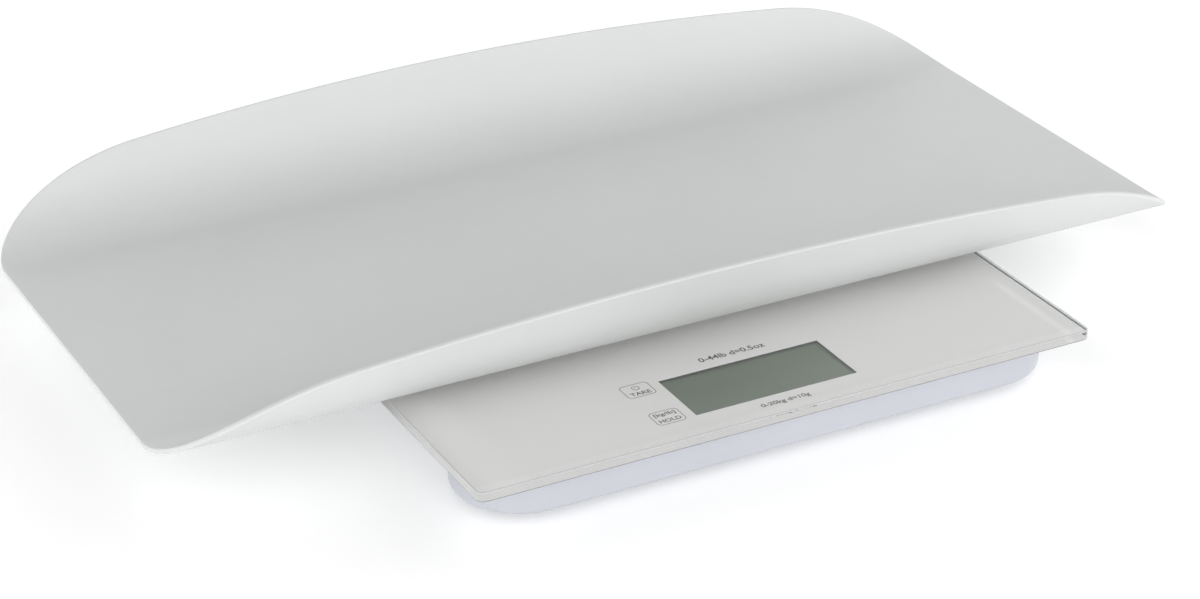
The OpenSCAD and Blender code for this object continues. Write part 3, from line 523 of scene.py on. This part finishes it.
def tray_sheet():
    """The moulded sheet: inner and outer faces, joined by a softly squared edge all the way round."""
    place, normal = sheet_grid(tray_columns())
    n, m = place.shape[:2]
    inner, outer = place + SHEET_EDGE * normal, place - SHEET_EDGE * normal
    points = list(inner.reshape(-1, 3)) + list(outer.reshape(-1, 3))
    normals = list(normal.reshape(-1, 3)) + list(-normal.reshape(-1, 3))
    faces = []
    for i in range(n - 1):
        for k in range(m - 1):
            a, b, c, d = i * m + k, (i + 1) * m + k, (i + 1) * m + k + 1, i * m + k + 1
            faces.append((a, b, c, d))
            faces.append((n * m + d, n * m + c, n * m + b, n * m + a))
    border = [(i, 0) for i in range(n - 1)] + [(n - 1, k) for k in range(m - 1)]
    border += [(i, m - 1) for i in range(n - 1, 0, -1)] + [(0, k) for k in range(m - 1, 0, -1)]
    rings = []
    for j, (i, k) in enumerate(border):
        along = place[border[(j + 1) % len(border)]] - place[border[j - 1]]
        out = np.cross(along / np.linalg.norm(along), normal[i, k])
        ring = [i * m + k]
        for t in range(1, EDGE_TURNS):
            a = math.pi * t / EDGE_TURNS
            bulge = squared_turn(a, 2 / EDGE_SQUARENESS, normal[i, k], out)
            facing = squared_turn(a, 2 - 2 / EDGE_SQUARENESS, normal[i, k], out)
            ring.append(len(points))
            points.append(place[i, k] + SHEET_EDGE * bulge)
            normals.append(facing / np.linalg.norm(facing))
        ring.append(n * m + i * m + k)
        rings.append(ring)
    for ring, following in zip(rings, rings[1:] + rings[:1]):
        for t in range(EDGE_TURNS):
            faces.append((ring[t], ring[t + 1], following[t + 1], following[t]))
    mesh = bpy.data.meshes.new("tray_sheet")
    mesh.from_pydata([tuple(p) for p in points], [], faces)
    mesh.validate()
    mesh.update()
    shade_smooth(mesh)
    mesh.normals_split_custom_set_from_vertices([tuple(v) for v in normals])
    settle(link("tray_sheet", mesh), "tray", "tray_plastic", ("tray",))


def add_prism(bm, outline, low, high):
    """Adds a straight prism to a bmesh, from low to high in y. outline is in x and z."""
    ends = [[bm.verts.new((x, y, z)) for x, z in outline] for y in (low, high)]
    bm.faces.new(ends[0])
    bm.faces.new(list(reversed(ends[1])))
    for i in range(len(outline)):
        j = (i + 1) % len(outline)
        bm.faces.new((ends[0][j], ends[0][i], ends[1][i], ends[1][j]))


def tray_lug(name, side):
    """Lug under the tray that keeps it centred on the glass, with three gussets. side is 1 or -1."""
    bm = bmesh.new()
    top = TRAY_Z + TRAY_SHEET / 2
    low = TRAY_Z - LUG_DROP
    x0, x1 = side * LUG_X, side * (LUG_X + LUG_T)
    y0, y1 = TRAY_MID_Y - LUG_L / 2, TRAY_MID_Y + LUG_L / 2
    add_prism(bm, [(x0, low), (x1, low), (x1, top), (x0, top)], y0, y1)
    root, tip = x1 - side * GUSSET_ROOT, x1 + side * GUSSET
    gusset = [(root, TRAY_Z), (root, low + GUSSET_ROOT), (x1, low + GUSSET_TOE), (tip, TRAY_Z)]
    for y in (y0, TRAY_MID_Y - RIB_T / 2, y1 - RIB_T):
        add_prism(bm, gusset, y + RIB_INSET, y + RIB_T - RIB_INSET)
    bmesh.ops.recalc_face_normals(bm, faces=bm.faces)
    bmesh.ops.bevel(bm, geom=[e for e in bm.edges if e.calc_length() > LUG_SHORT_EDGE], offset=LUG_BEVEL,
                    segments=2, affect="EDGES", clamp_overlap=True)
    solid_piece(name, bm, "tray", "tray_plastic", ("tray",))


# ---------------------------------------------------------------- glass platform

def glass_slab():
    """Tempered plate with softly ground edges, white behind except in the window over the display."""
    bm = bmesh.new()
    w, d = GLASS_HI.x - GLASS_LO.x, GLASS_HI.y - GLASS_LO.y
    bottom, top = GLASS_LO.z + PRINT_LIFT, GLASS_HI.z

    def ring(inset, corner_r, z):
        outline = rounded_rect(GLASS_MID.x, GLASS_MID.y, w - 2 * inset, d - 2 * inset, corner_r,
                               GLASS_CORNER_STEPS)
        return [bm.verts.new((x, y, z)) for x, y in outline]

    def band(lower, upper, finish):
        """Joins two rings by faces, all with one of GLASS_FINISHES."""
        for i in range(len(lower)):
            j = (i + 1) % len(lower)
            bm.faces.new((lower[i], lower[j], upper[j], upper[i])).material_index = finish

    # The ground edge is a quarter round below and another above, from insets and heights
    turns = [math.pi / 2 * i / GLASS_EDGE_STEPS for i in range(GLASS_EDGE_STEPS + 1)]
    edge = [(GLASS_EDGE_R * (1 - math.sin(a)), bottom + GLASS_EDGE_R * (1 - math.cos(a))) for a in turns]
    edge += [(GLASS_EDGE_R * (1 - math.cos(a)), top - GLASS_EDGE_R * (1 - math.sin(a))) for a in turns]
    rings = [ring(inset, GLASS_CORNER_R - inset, z) for inset, z in edge]
    finishes = [LOWER_EDGE] * GLASS_EDGE_STEPS + [CLEAR] + [TOP_EDGE] * GLASS_EDGE_STEPS
    for lower, upper, finish in zip(rings, rings[1:], finishes):
        band(lower, upper, finish)
    bm.faces.new(rings[-1])

    printed = ring(PRINT_MARGIN, GLASS_CORNER_R, bottom)
    band(printed, rings[0], MARGIN)
    hw, hd = WINDOW_W / 2, WINDOW_D / 2
    window = [bm.verts.new((x, WINDOW_Y + y, bottom))
              for x, y in ((hw, -hd), (hw, hd), (-hw, hd), (-hw, -hd))]
    bm.faces.new(list(reversed(window)))
    # Four printed faces round the window, each between the middles of two of the plate's corners
    for k in range(4):
        first = k * (GLASS_CORNER_STEPS + 1) + GLASS_CORNER_STEPS // 2
        outer = [printed[i % len(printed)] for i in range(first, first + GLASS_CORNER_STEPS + 2)]
        inner = [window[k], window[(k + 1) % 4]]
        bm.faces.new(inner + list(reversed(outer))).material_index = PRINTED
    bmesh.ops.recalc_face_normals(bm, faces=bm.faces)
    plate = solid_piece("glass_plate", bm, "root", "platform_glass", ("glass_platform",))
    for finish in GLASS_FINISHES[PRINTED:]:
        plate.data.materials.append(MATERIALS[finish])


# ---------------------------------------------------------------- printed marks

def ribbon(bm, path, width, closed):
    """A flat printed line of even width along a path."""
    count = len(path)
    rails = []
    for i, (x, y) in enumerate(path):
        before = path[i - 1] if closed or i else path[i]
        after = path[(i + 1) % count] if closed or i < count - 1 else path[i]
        along = (Vector(after) - Vector(before)).normalized()
        side = Vector((-along.y, along.x)) * width / 2
        rails.append([bm.verts.new((x + s * side.x, y + s * side.y, INK_Z)) for s in (1, -1)])
    for i in range(count if closed else count - 1):
        (a, b), (c, d) = rails[i], rails[(i + 1) % count]
        bm.faces.new((a, b, d, c))


def flat_mark(name, bm):
    """A printed mark, just above the white print and seen through the glass."""
    bmesh.ops.recalc_face_normals(bm, faces=bm.faces)
    settle(link(name, mesh_of(name, bm)), "root", "print_ink")


def key_outline(name, y):
    bm = bmesh.new()
    ribbon(bm, rounded_rect(KEY_X, y, KEY_W, KEY_D, KEY_CORNER_R, KEY_CORNER_STEPS), KEY_LINE, True)
    flat_mark(name, bm)


def power_sign(name):
    """An open ring with a stroke through its gap."""
    bm = bmesh.new()
    angles = [math.radians(SIGN_START + SIGN_TURN * i / SIGN_STEPS) for i in range(SIGN_STEPS + 1)]
    ring = [(KEY_X + SIGN_R * math.cos(a), SIGN_Y + SIGN_R * math.sin(a)) for a in angles]
    ribbon(bm, ring, SIGN_LINE, False)
    ribbon(bm, [(KEY_X, SIGN_Y + STROKE_FOOT), (KEY_X, SIGN_Y + STROKE_TOP)], SIGN_LINE, False)
    flat_mark(name, bm)


def lettering(name, words, x, y, width, height):
    """A line of printed letters, fitted to a width and a height and centred on a place."""
    curve = bpy.data.curves.new(name, "FONT")
    curve.body = words
    curve.offset = LETTER_BOLDNESS
    curve.resolution_u = LETTER_STEPS
    maker = link(name, curve)
    mesh = maker.to_mesh()
    places = np.array([v.co[:] for v in mesh.vertices])
    faces = [tuple(face.vertices) for face in mesh.polygons]
    maker.to_mesh_clear()
    bpy.data.objects.remove(maker)
    bpy.data.curves.remove(curve)
    low, high = places.min(0), places.max(0)
    # The letters are flat, so without the tiny length their depth would be a division by zero
    places = (places - (low + high) / 2) / (high - low + 1e-9) * (width, height, 0) + (x, y, INK_Z)
    bm = bmesh.new()
    verts = [bm.verts.new(tuple(p)) for p in places]
    for face in faces:
        bm.faces.new([verts[i] for i in face])
    flat_mark(name, bm)


def printed_marks():
    """Key outlines and signs to the left of the window, and the two weighing ranges."""
    key_outline("key_outline_hold", HOLD_Y)
    key_outline("key_outline_tare", TARE_Y)
    power_sign("power_sign")
    for name, (words, x, y, width, height) in WORDS.items():
        lettering(name, words, x, y, width, height)


# ---------------------------------------------------------------- stage

def build_world():
    """Studio light that comes from low down all round, strongest in front, and little from above."""
    world = bpy.data.worlds.new("studio")
    bpy.context.scene.world = world
    world.use_nodes = True
    tree = world.node_tree
    tree.nodes.clear()
    toward = by_axis(tree, tree.nodes.new("ShaderNodeTexCoord").outputs["Generated"])
    radiance = fold(tree, "ADD", remap(tree, toward["Z"], 0, 1, SKY_HORIZON, 0),
                    remap(tree, toward["Y"], 0, -1, 0, SKY_FRONT),
                    remap(tree, toward["X"], 0, -1, 0, SKY_LEFT))
    back = node(tree, "ShaderNodeBackground", {"Color": (1, 1, 1, 1), "Strength": radiance})
    node(tree, "ShaderNodeOutputWorld", {"Surface": back.outputs[0]})


def build_lamp():
    data = bpy.data.lights.new("right_fill", "AREA")
    data.shape = "RECTANGLE"
    data.size, data.size_y = FILL_W, FILL_H
    data.energy = FILL_POWER
    lamp = link("right_fill", data)
    lamp.location = FILL_AT
    lamp.rotation_euler = (FILL_AIM - FILL_AT).to_track_quat("-Z", "Y").to_euler()


def build_floor():
    h = FLOOR_HALF
    mesh = bpy.data.meshes.new("floor")
    mesh.from_pydata([(-h, -h, 0), (h, -h, 0), (h, h, 0), (-h, h, 0)], [], [(0, 1, 2, 3)])
    floor = link("floor", mesh)
    material, tree = start_material("pale_floor")
    end_material(tree, node(tree, "ShaderNodeBsdfPrincipled", {
        "Base Color": shade_mix(tree, wander(tree, FLOOR_NOISE, 0, 1), *FLOOR_SHADES), "Roughness": 0.7,
        "Emission Color": (1, 1, 1, 1), "Emission Strength": FLOOR_GLOW}))
    mesh.materials.append(material)


def build_camera():
    data = bpy.data.cameras.new("camera")
    data.sensor_width = SENSOR_W
    data.lens = CAMERA_LENS
    data.clip_start = CAMERA_NEAR
    camera = link("camera", data)
    camera.location = CAMERA_AT
    look = (CAMERA_AIM - CAMERA_AT).to_track_quat("-Z", "Y")
    camera.rotation_euler = (look @ Quaternion((0, 0, 1), CAMERA_ROLL)).to_euler()
    bpy.context.scene.camera = camera


build_camera()
bpy.context.scene.view_settings.view_transform = "Standard"
build_world()
build_floor()
build_lamp()
dress_nodes()
tray_sheet()
tray_lug("tray_lug_right", 1)
tray_lug("tray_lug_left", -1)
glass_slab()
printed_marks()
